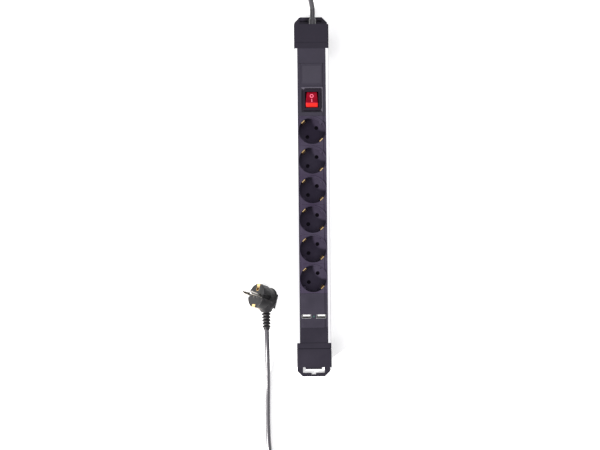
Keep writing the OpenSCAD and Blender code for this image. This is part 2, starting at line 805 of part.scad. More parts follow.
module plug_body() {
    r = plug_d / 2;
    back_r = r - 1.8;
    color([0.2, 0.2, 0.22]) on_plug() difference() {
        union() {
            rotate_extrude() polygon([
                [0, 0], [0, -plug_front - 1], [r, -plug_front - 1], [r, -0.6], [r - 0.6, 0]]);
            // handle that narrows to the cord
            hull($fn = 32) {
                translate([0, 0, -plug_back + 4]) cylinder(r = back_r, h = plug_back - plug_front - 4);
                translate([0, 0, -plug_back]) cylinder(r = back_r - 4, h = 5);
                plug_exit() translate([0, 0, relief_start + 1]) cylinder(r = 7.6, h = 4);
            }
            // rim and finger grip
            translate([0, 0, -plug_back + 4.6]) cylinder(r = r - 0.5, h = 1.8);
            centred(13, -11, 11, -plug_back - 6, -plug_back + 3);
        }
        for (side = [-1, 1]) {
            // guide notches, earth contact seats and pin seats
            translate([side * (r - 1.4), 0, -plug_front / 2 + 1]) cube([3, 5.6, plug_front + 2.1], center = true);
            translate([0, side * (r - 0.6), -plug_front / 2 + 1]) cube([7, 2, plug_front + 2.3], center = true);
            translate([side * pin_spacing / 2, 0, -9]) cylinder(d = plug_pin_d - 0.76, h = 20);
        }
        translate([0, 10, -12]) cylinder(r = 3.1, h = 20);
        plug_exit() translate([0, 0, relief_start]) cylinder(r = cord_d / 2 + 2.4, h = 20);
        // seats of the bent ends of the earth contacts
        for (side = [-1, 1])
            translate([0, side * (r - 2.5), 0]) cube([7, 5.4, 1.1], center = true);
    }
}

module plug_pins() {
    r = plug_pin_d / 2;
    color("silver") on_plug() for (side = [-1, 1])
        translate([side * pin_spacing / 2, 0, 0]) rotate_extrude() polygon(concat(
            [[0, plug_pin_l], [0, -8.9], [r - 0.4, -8.9], [r - 0.4, 0.02], [r, 0.02]],
            [for (i = [0:6]) let (a = 15 * i) [r - 1.6 + 1.6 * cos(a), plug_pin_l - 1.6 + 1.6 * sin(a)]]));
}

module plug_earth_contacts() {
    r = plug_d / 2;
    color("gold") on_plug() {
        for (side = [-1, 1])
            translate([0, side * (r - 1), 0]) {
                translate([0, 0, -plug_front / 2 - 0.06]) cube([6.6, 0.9, plug_front], center = true);
                translate([0, -side * 1.9, -0.26]) cube([6.6, 4.4, 0.5], center = true);
            }
        translate([0, 10, -11.9]) difference() {
            cylinder(r = 3.05, h = 11.6);
            translate([0, 0, 1]) cylinder(r = 2.5, h = 12);
        }
    }
}

module plug_strain_relief() {
    color([0.22, 0.22, 0.24]) on_plug() plug_exit() difference() {
        rotate_extrude() polygon([
            [0, relief_start + 0.05], [cord_d / 2 + 2.35, relief_start + 0.05],
            [cord_d / 2 + 2.35, relief_start + 8], [cord_d / 2 + 1.7, relief_end], [0, relief_end]]);
        for (i = [0:5])
            translate([0, 0, relief_start + 6 + 4.1 * i]) rotate_extrude()
                translate([cord_d / 2 + 0.9, 0]) square([4, 2.1]);
    }
}

aluminium_profile();
insulating_tray();
top_end_cap();
bottom_end_cap();
end_cap_screws();
label_cover();
rating_label();
switch_frame();
switch_housing();
rocker();
switch_plungers();
switch_contact_arms();
switch_terminals();
switch_lamp();
socket_insert(0);  // socket_insert_1
socket_insert(1);  // socket_insert_2
socket_insert(2);  // socket_insert_3
socket_insert(3);  // socket_insert_4
socket_insert(4);  // socket_insert_5
socket_insert(5);  // socket_insert_6
socket_shutter(0);  // socket_shutter_1
socket_shutter(1);  // socket_shutter_2
socket_shutter(2);  // socket_shutter_3
socket_shutter(3);  // socket_shutter_4
socket_shutter(4);  // socket_shutter_5
socket_shutter(5);  // socket_shutter_6
earth_bar();
earth_bond_screw();
live_bus_bar();
neutral_bus_bar();
bus_bar_holders();
usb_cover();
usb_shell_left();
usb_shell_right();
usb_tongues();
usb_circuit_board();
usb_transformer();
usb_capacitors();
usb_led();
led_light_guide();
usb_wires();
cord_boot();
cord_clamp();
cord_clamp_screws();
cord_inner_length();
live_wire();
neutral_wire();
earth_wire();
mains_cord();
plug_body();
plug_pins();
plug_earth_contacts();
plug_strain_relief();
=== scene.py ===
import json
import math

import bmesh
import bpy
from mathutils import Matrix, Vector


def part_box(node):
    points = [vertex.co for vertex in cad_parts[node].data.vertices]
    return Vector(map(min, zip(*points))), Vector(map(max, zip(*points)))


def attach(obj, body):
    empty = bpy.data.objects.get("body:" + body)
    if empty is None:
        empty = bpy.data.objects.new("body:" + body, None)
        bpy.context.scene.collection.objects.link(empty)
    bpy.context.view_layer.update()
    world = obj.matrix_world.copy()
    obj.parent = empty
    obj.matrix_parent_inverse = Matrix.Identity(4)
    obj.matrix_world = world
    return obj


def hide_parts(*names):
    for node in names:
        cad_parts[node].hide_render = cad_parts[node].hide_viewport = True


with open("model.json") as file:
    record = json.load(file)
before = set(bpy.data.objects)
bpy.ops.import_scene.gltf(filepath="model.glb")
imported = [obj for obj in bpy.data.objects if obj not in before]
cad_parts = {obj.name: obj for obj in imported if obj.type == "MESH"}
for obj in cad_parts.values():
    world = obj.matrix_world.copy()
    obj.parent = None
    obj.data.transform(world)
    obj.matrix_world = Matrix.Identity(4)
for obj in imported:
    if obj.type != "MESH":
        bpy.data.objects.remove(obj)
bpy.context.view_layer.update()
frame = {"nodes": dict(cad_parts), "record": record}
nodes = frame["nodes"]
mm = 0.001
view = bpy.context.scene
sixWays = range(1, 7)
weldDistance = 0.000002


studio = {
    "camera": (-0.0190, -0.0427, 0.894), "roll": -0.56, "lens": 35,
    "world": (1.0, 1.0, 1.0), "worldStrength": 0.30,
    "floorSize": 4.0, "floorGlow": 0.45,
    "sheetY": (-0.392, 0.306), "sheetX": (-0.7, 0.7),
    "foldX": 0.0551, "foldHalf": 0.0280, "foldHeight": 0.0088, "foldParts": 12,
    "tableZ": -0.0006, "sheetZ": -0.0003,
}
lamps = {
    "keyLamp": dict(at=(-1.05, -1.05, 0.96), aim=(0, 0, 0.03), size=0.14, power=66, tint=(1.0, 0.98, 0.96)),
    "broadPanel": dict(at=(0.0, 0.15, 1.75), aim=(0, 0.15, 0), size=2.8, power=16, tint=(0.98, 0.97, 1.0)),
    "upperPanel": dict(at=(0.0, 1.05, 1.74), aim=(0, 1.05, 0), size=1.6, power=5, tint=(0.98, 0.97, 1.0)),
}


def place(name, data):
    holder = bpy.data.objects.new(name, data)
    view.collection.objects.link(holder)
    return holder


def smooth(data, sharp=None):
    # shades a mesh smoothly, with hard edges from the angle given
    for face in data.polygons:
        face.use_smooth = True
    if sharp is not None:
        data.set_sharp_from_angle(angle=math.radians(sharp))


def aimAt(holder, at, target):
    holder.location = at
    holder.rotation_euler = (Vector(target) - Vector(at)).to_track_quat("-Z", "Y").to_euler()


def setStudio():
    camera = place("frontCamera", bpy.data.cameras.new("frontCamera"))
    camera.location = studio["camera"]
    camera.rotation_euler = (0, 0, math.radians(studio["roll"]))
    camera.data.lens = studio["lens"]
    camera.data.sensor_width = 36
    camera.data.clip_start = 0.01
    view.camera = camera
    for name, lamp in lamps.items():
        light = bpy.data.lights.new(name, "AREA")
        light.shape = "DISK"
        light.size = lamp["size"]
        light.energy = lamp["power"]
        light.color = lamp["tint"]
        aimAt(place(name, light), lamp["at"], lamp["aim"])
    world = bpy.data.worlds.new("softRoom")
    world.use_nodes = True
    sky = world.node_tree.nodes["Background"]
    sky.inputs["Color"].default_value = (*studio["world"], 1)
    sky.inputs["Strength"].default_value = studio["worldStrength"]
    view.world = world
    view.view_settings.view_transform = "Standard"
    print("camera, lamps and room set")


def foldHeightAt(x):
    away = abs(x - studio["foldX"]) / studio["foldHalf"]
    return 0 if away >= 1 else studio["foldHeight"] * (1 + math.cos(math.pi * away)) / 2


def layFloor():
    paper = bpy.data.materials.new("whitePaper")
    paper.use_nodes = True
    shader = paper.node_tree.nodes["Principled BSDF"]
    shader.inputs["Base Color"].default_value = (0.93, 0.93, 0.93, 1)
    shader.inputs["Roughness"].default_value = 0.85
    shader.inputs["Specular IOR Level"].default_value = 0.2
    shader.inputs["Emission Color"].default_value = (1, 1, 1, 1)
    shader.inputs["Emission Strength"].default_value = studio["floorGlow"]
    # clear from below, so the back can be looked at
    tree = paper.node_tree
    side = tree.nodes.new("ShaderNodeNewGeometry")
    clear = tree.nodes.new("ShaderNodeBsdfTransparent")
    either = tree.nodes.new("ShaderNodeMixShader")
    tree.links.new(side.outputs["Backfacing"], either.inputs[0])
    tree.links.new(shader.outputs[0], either.inputs[1])
    tree.links.new(clear.outputs[0], either.inputs[2])
    tree.links.new(either.outputs[0], tree.nodes["Material Output"].inputs["Surface"])
    half, flat = studio["floorSize"] / 2, studio["tableZ"]
    table = bpy.data.meshes.new("tableTop")
    table.from_pydata([(-half, -half, flat), (half, -half, flat), (half, half, flat), (-half, half, flat)],
                      [], [(0, 1, 2, 3)])
    table.materials.append(paper)
    place("tableTop", table)
    # a sheet of paper with one soft fold beside the strip
    low, high = studio["sheetX"]
    parts = studio["foldParts"]
    fold = [studio["foldX"] + studio["foldHalf"] * (k / parts - 1) for k in range(2 * parts + 1)]
    columns = [low] + fold + [high]
    sheet = bpy.data.meshes.new("paperSheet")
    points = [(x, y, foldHeightAt(x) + studio["sheetZ"]) for y in studio["sheetY"] for x in columns]
    count = len(columns)
    sheet.from_pydata(points, [], [(k, k + 1, count + k + 1, count + k) for k in range(count - 1)])
    sheet.materials.append(paper)
    smooth(sheet)
    place("paperSheet", sheet)


setStudio()
layFloor()


def newGroup(name, inputs, outputs):
    group = bpy.data.node_groups.new(name, "ShaderNodeTree")
    for label, kind, value in inputs:
        socket = group.interface.new_socket(label, in_out="INPUT", socket_type=kind)
        socket.default_value = value
    for label, kind in outputs:
        group.interface.new_socket(label, in_out="OUTPUT", socket_type=kind)
    return group, group.nodes.new("NodeGroupInput"), group.nodes.new("NodeGroupOutput")


def addNode(tree, kind, links=(), **settings):
    node = tree.nodes.new(kind)
    for key, value in settings.items():
        setattr(node, key, value)
    for socket, source in dict(links).items():
        if hasattr(source, "is_output"):
            tree.links.new(source, node.inputs[socket])
        else:
            node.inputs[socket].default_value = source
    return node


# how fine each pattern is, as noise scales
patternScale = {"pits": 2600.0, "cloud": 28.0, "speck": 420.0, "rub": 190.0}


def makeGrainGroup():
    group, given, made = newGroup(
        "mouldedGrain",
        [("Scale", "NodeSocketFloat", 1.0), ("Stretch", "NodeSocketVector", (1, 1, 1))],
        [("Height", "NodeSocketFloat"), ("Cloud", "NodeSocketFloat"), ("Dust", "NodeSocketFloat")])
    where = addNode(group, "ShaderNodeTexCoord")
    size = addNode(group, "ShaderNodeMapping", {
        "Vector": where.outputs["Object"], "Scale": given.outputs["Stretch"]})
    fine = addNode(group, "ShaderNodeMath", {0: given.outputs["Scale"], 1: patternScale["pits"]},
                   operation="MULTIPLY")
    pits = addNode(group, "ShaderNodeTexNoise", {
        "Vector": size.outputs[0], "Scale": fine.outputs[0], "Detail": 2.0, "Roughness": 0.5})
    coarse = addNode(group, "ShaderNodeMath", {0: given.outputs["Scale"], 1: patternScale["cloud"]},
                     operation="MULTIPLY")
    cloud = addNode(group, "ShaderNodeTexNoise", {
        "Vector": size.outputs[0], "Scale": coarse.outputs[0], "Detail": 4.0, "Roughness": 0.6})
    speck = addNode(group, "ShaderNodeTexNoise", {
        "Vector": size.outputs[0], "Scale": patternScale["speck"], "Detail": 3.0, "Roughness": 0.7})
    dust = addNode(group, "ShaderNodeMapRange", {
        "Value": speck.outputs[0], "From Min": 0.64, "From Max": 0.78})
    group.links.new(pits.outputs[0], made.inputs["Height"])
    group.links.new(cloud.outputs[0], made.inputs["Cloud"])
    group.links.new(dust.outputs[0], made.inputs["Dust"])
    return group


def makeEdgeGroup():
    group, given, made = newGroup("edgeWear", [("Amount", "NodeSocketFloat", 0.5)],
                                  [("Mask", "NodeSocketFloat")])
    edge = addNode(group, "ShaderNodeAttribute", attribute_name="edge")
    where = addNode(group, "ShaderNodeTexCoord")
    patch = addNode(group, "ShaderNodeTexNoise", {
        "Vector": where.outputs["Object"], "Scale": patternScale["rub"], "Detail": 4.0, "Roughness": 0.65})
    rubbed = addNode(group, "ShaderNodeMapRange", {
        "Value": patch.outputs[0], "From Min": 0.42, "From Max": 0.66})
    seen = addNode(group, "ShaderNodeMath", {0: rubbed.outputs[0], 1: edge.outputs["Fac"]},
                   operation="MULTIPLY")
    dosed = addNode(group, "ShaderNodeMath", {0: seen.outputs[0], 1: given.outputs["Amount"]},
                    operation="MULTIPLY", use_clamp=True)
    group.links.new(dosed.outputs[0], made.inputs["Mask"])
    return group


grainGroup = makeGrainGroup()
edgeGroup = makeEdgeGroup()
dustColour = (0.42, 0.4, 0.38)
coatRoughness = 0.25


def finish(name, colour, shade, rough, *, roughSpread=0.08, metal=0.0, grain=1.0, stretch=(1, 1, 1),
           depth=0.00003, wear=0.5, worn=None, dust=0.0, coat=0.0, sheen=0.0, shine=0.5, tint=(1, 1, 1),
           glow=0.0, through=0.0):
    # plastic, rubber or metal: two colours in clouds, fine pits, dust, and edges rubbed lighter
    material = bpy.data.materials.new(name)
    material.use_nodes = True
    tree = material.node_tree
    shader = tree.nodes["Principled BSDF"]
    texture = addNode(tree, "ShaderNodeGroup", node_tree=grainGroup)
    texture.inputs["Scale"].default_value = grain
    texture.inputs["Stretch"].default_value = stretch
    rub = addNode(tree, "ShaderNodeGroup", node_tree=edgeGroup)
    rub.inputs["Amount"].default_value = wear
    spread = addNode(tree, "ShaderNodeMapRange", {
        "Value": texture.outputs["Cloud"], "From Min": 0.3, "From Max": 0.7})
    base = addNode(tree, "ShaderNodeMix", {
        "Factor": spread.outputs[0], 6: (*colour, 1), 7: (*shade, 1)}, data_type="RGBA")
    dusty = addNode(tree, "ShaderNodeMath", {0: texture.outputs["Dust"], 1: dust}, operation="MULTIPLY")
    powder = addNode(tree, "ShaderNodeMix", {
        "Factor": dusty.outputs[0], 6: base.outputs[2], 7: (*dustColour, 1)}, data_type="RGBA")
    lighter = worn or tuple(min(1, c * 1.8 + 0.02) for c in colour)
    edged = addNode(tree, "ShaderNodeMix", {
        "Factor": rub.outputs["Mask"], 6: powder.outputs[2], 7: (*lighter, 1)}, data_type="RGBA")
    tree.links.new(edged.outputs[2], shader.inputs["Base Color"])
    gloss = addNode(tree, "ShaderNodeMapRange", {
        "Value": texture.outputs["Cloud"], "From Min": 0.25, "From Max": 0.75,
        "To Min": rough - roughSpread, "To Max": rough + roughSpread})
    tree.links.new(gloss.outputs[0], shader.inputs["Roughness"])
    bump = addNode(tree, "ShaderNodeBump", {
        "Height": texture.outputs["Height"], "Distance": depth, "Strength": 1.0})
    tree.links.new(bump.outputs[0], shader.inputs["Normal"])
    shader.inputs["Metallic"].default_value = metal
    shader.inputs["Specular IOR Level"].default_value = shine
    shader.inputs["Specular Tint"].default_value = (*tint, 1)
    shader.inputs["Coat Weight"].default_value = coat
    shader.inputs["Coat Roughness"].default_value = coatRoughness
    shader.inputs["Sheen Weight"].default_value = sheen
    shader.inputs["Transmission Weight"].default_value = through
    if glow:
        shader.inputs["Emission Color"].default_value = (*colour, 1)
        shader.inputs["Emission Strength"].default_value = glow
    return material


violet = (0.90, 0.84, 1.0)
finishes = {
    "anodised_rail": finish("anodised_rail", (0.79, 0.79, 0.80), (0.74, 0.74, 0.76), 0.36, metal=1.0,
                            stretch=(1, 0.02, 1), depth=0.00002, worn=(0.80, 0.80, 0.80)),
    "cap_plastic": finish("cap_plastic", (0.008, 0.007, 0.012), (0.013, 0.011, 0.018), 0.44, shine=0.25,
                          tint=violet, depth=0.00006, wear=0.35, dust=0.03),
    "face_plastic": finish("face_plastic", (0.016, 0.014, 0.022), (0.024, 0.021, 0.032), 0.40, shine=0.30,
                           tint=violet, depth=0.00005, wear=0.35, dust=0.03),
    "insert_plastic": finish("insert_plastic", (0.032, 0.024, 0.044), (0.050, 0.043, 0.066), 0.46,
                             shine=0.03, tint=violet, depth=0.00005, wear=0.4, dust=0.03),
    "shutter_plastic": finish("shutter_plastic", (0.005, 0.004, 0.007), (0.008, 0.006, 0.010), 0.5,
                              shine=0.03, tint=violet),
    "label_film": finish("label_film", (0.016, 0.014, 0.022), (0.023, 0.020, 0.031), 0.33, shine=0.34,
                         tint=violet, roughSpread=0.05, depth=0.00001, wear=0.3, coat=0.1),
    "switch_black": finish("switch_black", (0.007, 0.004, 0.008), (0.012, 0.008, 0.014), 0.36, shine=0.16,
                           tint=violet, wear=0.6, worn=(0.10, 0.08, 0.10)),
    "rocker_red": finish("rocker_red", (0.22, 0.001, 0.010), (0.28, 0.002, 0.015), 0.36, shine=0.15,
                         tint=(1.0, 0.5, 0.5), depth=0.00001, wear=0.3, worn=(0.75, 0.05, 0.08)),
    "spring_brass": finish("spring_brass", (0.78, 0.56, 0.27), (0.68, 0.46, 0.20), 0.30, metal=1.0),
    "contact_brass": finish("contact_brass", (0.84, 0.70, 0.46), (0.72, 0.56, 0.32), 0.24, metal=1.0,
                            depth=0.00001, wear=0.6),
    "nickel_pin": finish("nickel_pin", (0.50, 0.48, 0.45), (0.40, 0.38, 0.36), 0.24, metal=1.0,
                         depth=0.000006, worn=(0.62, 0.54, 0.40)),
    "port_steel": finish("port_steel", (0.66, 0.66, 0.67), (0.54, 0.54, 0.56), 0.26, metal=1.0,
                         depth=0.000006),
    "port_tongue": finish("port_tongue", (0.78, 0.78, 0.77), (0.68, 0.68, 0.67), 0.40),
    "screw_steel": finish("screw_steel", (0.50, 0.50, 0.51), (0.40, 0.40, 0.41), 0.30, metal=1.0),
    "tray_plastic": finish("tray_plastic", (0.30, 0.30, 0.30), (0.36, 0.36, 0.35), 0.5),
    "holder_plastic": finish("holder_plastic", (0.55, 0.53, 0.48), (0.62, 0.60, 0.54), 0.5),
    "board_green": finish("board_green", (0.012, 0.11, 0.045), (0.02, 0.15, 0.06), 0.35, coat=0.4),
    "winding_tape": finish("winding_tape", (0.62, 0.42, 0.05), (0.70, 0.50, 0.09), 0.45),
    "capacitor_sleeve": finish("capacitor_sleeve", (0.02, 0.03, 0.07), (0.03, 0.05, 0.1), 0.3, coat=0.4),
    "led_green": finish("led_green", (0.10, 0.55, 0.16), (0.14, 0.62, 0.2), 0.25, glow=0.2),
    "lamp_glass": finish("lamp_glass", (0.9, 0.45, 0.25), (0.95, 0.55, 0.3), 0.12, through=0.6),
    "wire_brown": finish("wire_brown", (0.13, 0.045, 0.015), (0.16, 0.06, 0.02), 0.4),
    "wire_blue": finish("wire_blue", (0.02, 0.06, 0.32), (0.03, 0.08, 0.38), 0.4),
    "wire_green": finish("wire_green", (0.08, 0.30, 0.03), (0.42, 0.40, 0.02), 0.4, grain=6),
    "cord_rubber": finish("cord_rubber", (0.056, 0.054, 0.062), (0.072, 0.069, 0.079), 0.28,
                          depth=0.00002, grain=0.7, dust=0.05, sheen=0.1),
    "plug_rubber": finish("plug_rubber", (0.005, 0.0048, 0.006), (0.009, 0.0085, 0.010), 0.42,
                          depth=0.00002, grain=1.2, dust=0.05, sheen=0.03, wear=0.4, shine=0.30),
}
guideLens = finish("guideLens", (0.010, 0.045, 0.040), (0.016, 0.080, 0.066), 0.20, coat=0.3, through=0.1)
# painted highlight: the sloping walls of the switch well get a glossier and much lighter copy of the face
# plastic, standing in for the key light catching them
wellSlope = finish("wellSlope", (0.075, 0.068, 0.088), (0.098, 0.089, 0.112), 0.34, shine=0.5, tint=violet)
markPaint = finish("markPaint", (0.95, 0.14, 0.24), (1.0, 0.20, 0.30), 0.35, shine=0.3, depth=0.00001)
# painted light: the skirt under the rocker's raised end is a brighter, faintly glowing copy of the rocker
# red, standing in for the key light and the lamp behind it lighting that face
skirtRed = finish("skirtRed", (0.50, 0.014, 0.010), (0.57, 0.018, 0.013), 0.40, shine=0.06, depth=0.00001,
                  glow=0.06)
print("finishes made:", len(finishes))

slotOf = {part["node"]: part["material_slot"] for part in frame["record"]["subparts"]}
bodyOf = {node: body for body, members in frame["record"]["behaviour"]["bodies"].items() for node in members}
for node, slotName in slotOf.items():
    nodes[node].data.materials.clear()
    nodes[node].data.materials.append(finishes[slotName])


# the cord: same route as the solid's, sampled closer
cordSizes = {
    "diameter": 0.0076, "step": 0.004, "sides": 20, "exit": (0.0025, 0.2661, 0.020),
    "route": [
        (2.5, 266.1, 20), (2.5, 281, 20), (0, 296, 17.5), (-4.5, 312, 12), (-8, 328, 6.5),
        (-8.5, 343, 4), (-4.2, 359, 4), (7.5, 371, 4), (23.5, 375.4, 4), (39.5, 371, 4),
        (51.2, 359, 4), (55.6, 343, 4), (56, 324, 4), (56, 298, 4), (55.5, 262, 4),
        (55, 215, 4), (55, 160, 4), (54.5, 105, 4), (55, 50, 4), (55.5, -5, 4),
        (55.5, -60, 4), (55, -115, 4), (54.5, -170, 4), (55, -225, 4), (55.5, -280, 4),
        (56, -335, 4), (56, -374, 4), (50, -404, 4), (37, -429, 4), (17, -445, 4),
        (-7, -450, 4), (-31, -445, 4), (-51, -431, 4), (-64, -409, 4), (-69.5, -382, 4),
        (-71, -350, 4), (-71, -318, 4), (-70.5, -288, 5.5), (-70, -262, 10.5),
        (-70, -238, 16), (-70.3, -216, 18.9), (-70.5, -199, 19.1)],
}


def easedRoute(points, step):
    # a Catmull-Rom curve through the points
    made = []
    for k in range(len(points) - 1):
        a, b = points[max(k - 1, 0)], points[k]
        c, d = points[k + 1], points[min(k + 2, len(points) - 1)]
        parts = max(1, round((c - b).length / step))
        for i in range(parts):
            t = i / parts
            made.append(0.5 * (2 * b + (c - a) * t + (2 * a - 5 * b + 4 * c - d) * t ** 2
                               + (3 * b - a - 3 * c + d) * t ** 3))
    return made + [points[-1]]


def sweptTube(name, points, radius, sides, up=Vector((0, 0, 1))):
    mesh = bmesh.new()
    rings = []
    for k, point in enumerate(points):
        ahead = (points[min(k + 1, len(points) - 1)] - points[max(k - 1, 0)]).normalized()
        side = ahead.cross(up).normalized()
        top = side.cross(ahead)
        rings.append([mesh.verts.new(point + radius * (math.cos(a) * side + math.sin(a) * top))
                      for a in (math.tau * i / sides for i in range(sides))])
    for one, two in zip(rings, rings[1:]):
        for i in range(sides):
            mesh.faces.new((one[i], one[(i + 1) % sides], two[(i + 1) % sides], two[i]))
    mesh.faces.new(rings[0][::-1])
    mesh.faces.new(rings[-1])
    bmesh.ops.recalc_face_normals(mesh, faces=mesh.faces)
    return asPiece(name, mesh)


def asPiece(name, mesh, sharp=35):
    data = bpy.data.meshes.new(name)
    mesh.to_mesh(data)
    mesh.free()
    smooth(data, sharp)
    return place(name, data)


def dress(piece, material, node):
    # gives a piece its finish and its body, and hides the solid that it stands for
    if len(piece.data.materials):
        piece.data.materials.clear()
    piece.data.materials.append(material)
    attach(piece, bodyOf[node])
    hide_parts(node)
    return piece


cordPoints = easedRoute([Vector(p) * mm for p in cordSizes["route"]], cordSizes["step"])
mainsCord = sweptTube("mainsCord", cordPoints, cordSizes["diameter"] / 2, cordSizes["sides"])
dress(mainsCord, finishes["cord_rubber"], "mains_cord")


def baked(piece):
    # turns a piece with live modifiers into a plain mesh
    graph = bpy.context.evaluated_depsgraph_get()
    shape = bpy.data.meshes.new_from_object(
        piece.evaluated_get(graph), preserve_all_data_layers=True, depsgraph=graph)
    piece.modifiers.clear()
    piece.data = shape
    return piece


def refined(node, width, crease=32, segments=2, reshape=None):
    # a copy of a solid with its sharp edges rounded and its flats kept flat
    mesh = bmesh.new()
    mesh.from_mesh(nodes[node].data)
    edge = mesh.faces.layers.float.new("edge")
    bmesh.ops.remove_doubles(mesh, verts=mesh.verts, dist=weldDistance)
    if reshape:
        for vert in mesh.verts:
            reshape(vert.co)
    bmesh.ops.dissolve_limit(mesh, angle_limit=math.radians(0.6), verts=mesh.verts, edges=mesh.edges)
    mesh.normal_update()
    edges = [e for e in mesh.edges if len(e.link_faces) == 2 and e.calc_face_angle(0) > math.radians(crease)]
    made = bmesh.ops.bevel(mesh, geom=edges, offset=width, offset_type="OFFSET", segments=segments,
                           profile=0.5, affect="EDGES", clamp_overlap=True)
    for face in made["faces"]:
        face[edge] = 1
    piece = asPiece(camel(node), mesh, sharp=38)
    flats = piece.modifiers.new("flats", "WEIGHTED_NORMAL")
    flats.keep_sharp = True
    flats.weight = 80
    return baked(piece)


def camel(node):
    first, *rest = node.split("_")
    return first + "".join(word.capitalize() for word in rest)


# moulded and pressed pieces whose shape is the solid's, with rounded edges
edgeRounds = {
    "aluminium_profile": 0.00025, "top_end_cap": 0.00050, "bottom_end_cap": 0.00050,
    "end_cap_screws": 0.00015, "label_cover": 0.00025,
    "switch_frame": 0.00030, "switch_housing": 0.00030, "earth_bar": 0.00012,
    "usb_cover": 0.00025, "led_light_guide": 0.00020, "plug_earth_contacts": 0.00012,
    "plug_pins": 0.00030, "cord_boot": 0.00040, "usb_shell_left": 0.00008, "usb_shell_right": 0.00008,
    "usb_tongues": 0.00020, "rating_label": 0.00010,
    **{f"socket_insert_{k}": 0.00030 for k in sixWays},
}
well = {"middle": 0.1384, "floor": 0.040, "half": (0.0150, 0.0174), "slope": 0.0023, "level": 0.0002,
        "reach": 0.0012, "rise": 0.0005, "tilt": (0.3, 0.95)}
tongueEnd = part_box("aluminium_profile")[1].y


def slopeWell(point):
    # the walls round the switch lean inwards
    along = point.y - well["middle"]
    if abs(point.z - well["floor"]) < well["level"]:
        if abs(point.x) > well["half"][0]:
            point.x -= math.copysign(well["slope"], point.x)
        if abs(along) > well["half"][1]:
            point.y -= math.copysign(well["slope"], along)


def onSlope(face):
    x, y = abs(face.center.x), abs(face.center.y - well["middle"])
    near = x < well["half"][0] + well["reach"] and y < well["half"][1] + well["reach"]
    least, most = well["tilt"]
    return near and least < face.normal.z < most and face.center.z > well["floor"] + well["rise"]


for node, width in edgeRounds.items():
    material = guideLens if node == "led_light_guide" else finishes[slotOf[node]]
    piece = refined(node, width, reshape=slopeWell if node == "switch_frame" else None)
    dress(piece, material, node)
    if node == "top_end_cap":
        # the tongue over the face has the face's finish
        piece.data.materials.append(finishes["face_plastic"])
        for face in piece.data.polygons:
            face.material_index = int(face.center.y < tongueEnd)
    if node == "switch_frame":
        # the well's sloping walls take the lighter material, a painted highlight
        piece.data.materials.append(wellSlope)
        for face in piece.data.polygons:
            face.material_index = int(onSlope(face))
print("edges rounded on", len(edgeRounds), "pieces")


rockerShape = {
    "pivot": (0, 0.1398, 0.0375), "tilt": -14, "baseHalf": 9.4, "baseLow": -1.5, "baseEnd": 12.4,
    # along, height and half width of the top, from the O end to the I end
    "top": [(11.3, 5.3, 7.0), (10.5, 6.1, 7.2), (7, 5.75, 7.5), (3.5, 5.65, 7.8), (0, 5.8, 8.1),
            (-3.5, 6.2, 8.4), (-6.2, 6.9, 8.6), (-7.0, 6.7, 8.6), (-10.3, 2.7, 8.5), (-11.3, 1.4, 8.5)],
    "across": (-1, -0.5, 0, 0.5, 1), "dish": (0, 0.22, 0.3, 0.22, 0),
    "skirtFrom": 6, "round": 0.35, "ringAt": 4.7, "ringRadius": 2.25, "ringThick": 0.62,
    "ringHigh": 0.18, "ringRounds": 40, "ringSides": 10, "markLift": 0.3,
    "barAt": -2.6, "barSize": (0.75, 2.6), "barSides": 24, "barSunk": 0.1, "barHigh": 0.12, "barTaper": 0.85,
}


def rockerPlace():
    tilt = Matrix.Rotation(math.radians(rockerShape["tilt"]), 4, "X")
    return Matrix.Translation(rockerShape["pivot"]) @ tilt @ Matrix.Scale(mm, 4)


def makeRocker():
    # one closed shell, wider at its foot than on top, with painted light on the skirt under the raised end:
    # a brighter red that glows faintly
    mesh = bmesh.new()
    edge = mesh.faces.layers.float.new("edge")
    size = rockerShape
    top = [[mesh.verts.new((side * half, along, height)) for side in size["across"]]
           for along, height, half in size["top"]]
    for row in top:
        for vert, sink in zip(row, size["dish"]):
            vert.co.z -= sink
    ends = size["top"][0][0], size["top"][-1][0]
    foot = []
    for along, height, half in size["top"]:
        stretch = size["baseEnd"] * (2 * (along - ends[1]) / (ends[0] - ends[1]) - 1)
        foot.append([mesh.verts.new((side * size["baseHalf"], stretch, size["baseLow"]))
                     for side in size["across"]])
    for k in range(len(top) - 1):
        for i in range(4):
            # faces of the raised end, from skirtFrom on, take the second material, which is painted light
            face = mesh.faces.new((top[k][i], top[k][i + 1], top[k + 1][i + 1], top[k + 1][i]))
            face.material_index = 1 if k >= size["skirtFrom"] else 0
            mesh.faces.new((foot[k][i], foot[k + 1][i], foot[k + 1][i + 1], foot[k][i + 1]))
        mesh.faces.new((top[k][0], top[k + 1][0], foot[k + 1][0], foot[k][0]))
        mesh.faces.new((top[k][4], foot[k][4], foot[k + 1][4], top[k + 1][4]))
    for i in range(4):
        mesh.faces.new((top[0][i + 1], top[0][i], foot[0][i], foot[0][i + 1]))
        face = mesh.faces.new((top[-1][i], top[-1][i + 1], foot[-1][i + 1], foot[-1][i]))
        face.material_index = 1
    bmesh.ops.recalc_face_normals(mesh, faces=mesh.faces)
    mesh.normal_update()
    sharp = [e for e in mesh.edges if len(e.link_faces) == 2 and e.calc_face_angle(0) > math.radians(28)]
    made = bmesh.ops.bevel(mesh, geom=sharp, offset=size["round"], offset_type="OFFSET", segments=3,
                           profile=0.5, affect="EDGES", clamp_overlap=True)
    for face in made["faces"]:
        face[edge] = 1
    mesh.transform(rockerPlace())
    piece = asPiece("rockerCap", mesh, sharp=40)
    dress(piece, finishes["rocker_red"], "rocker")
    # second material: the brighter, faintly glowing red that paints light on the skirt
    piece.data.materials.append(skirtRed)
    return piece


def topHeightAt(along):
    rows = rockerShape["top"]
    for (y0, z0, _), (y1, z1, _) in zip(rows, rows[1:]):
        if y1 <= along <= y0:
            return z0 + (z1 - z0) * (along - y0) / (y1 - y0) - max(rockerShape["dish"])
    return 0


